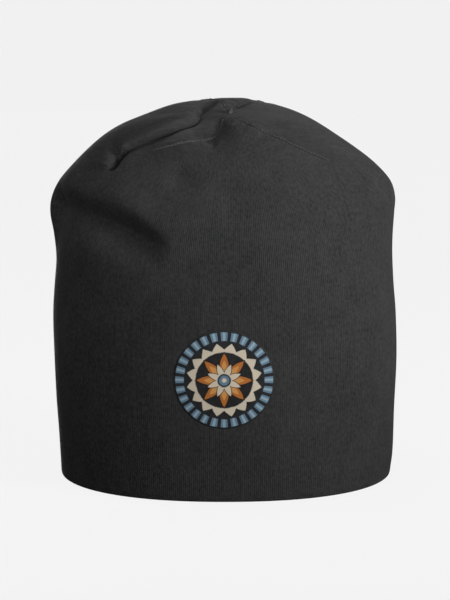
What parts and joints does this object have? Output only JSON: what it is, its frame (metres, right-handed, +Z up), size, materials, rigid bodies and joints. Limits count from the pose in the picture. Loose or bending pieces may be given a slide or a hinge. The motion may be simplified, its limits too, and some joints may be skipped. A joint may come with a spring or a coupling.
{
  "type": "slouch jersey beanie",
  "caption": "Soft slouch beanie of doubled dark grey jersey with a turned rim, four crown darts, a gathered tip and an open head hollow.",
  "frame": {"origin": "middle of the overall box on the surface that the rim rests on", "axes": "+Z up from the rim to the crown, -Y towards the front of the beanie, +X to the right as seen from the front"},
  "size_m": [0.2066, 0.152, 0.2246],
  "materials": {
    "jersey": "matt heathered dark grey cotton jersey with a slight nap",
    "seam": "matt jersey edge under dark sewing thread"
  },
  "bodies": {
    "root": {"shell": "jersey", "crown_seam_front_right": "seam", "crown_seam_front_left": "seam", "crown_seam_back_left": "seam", "crown_seam_back_right": "seam", "crown_tack": "seam"}
  },
  "joints": []
}
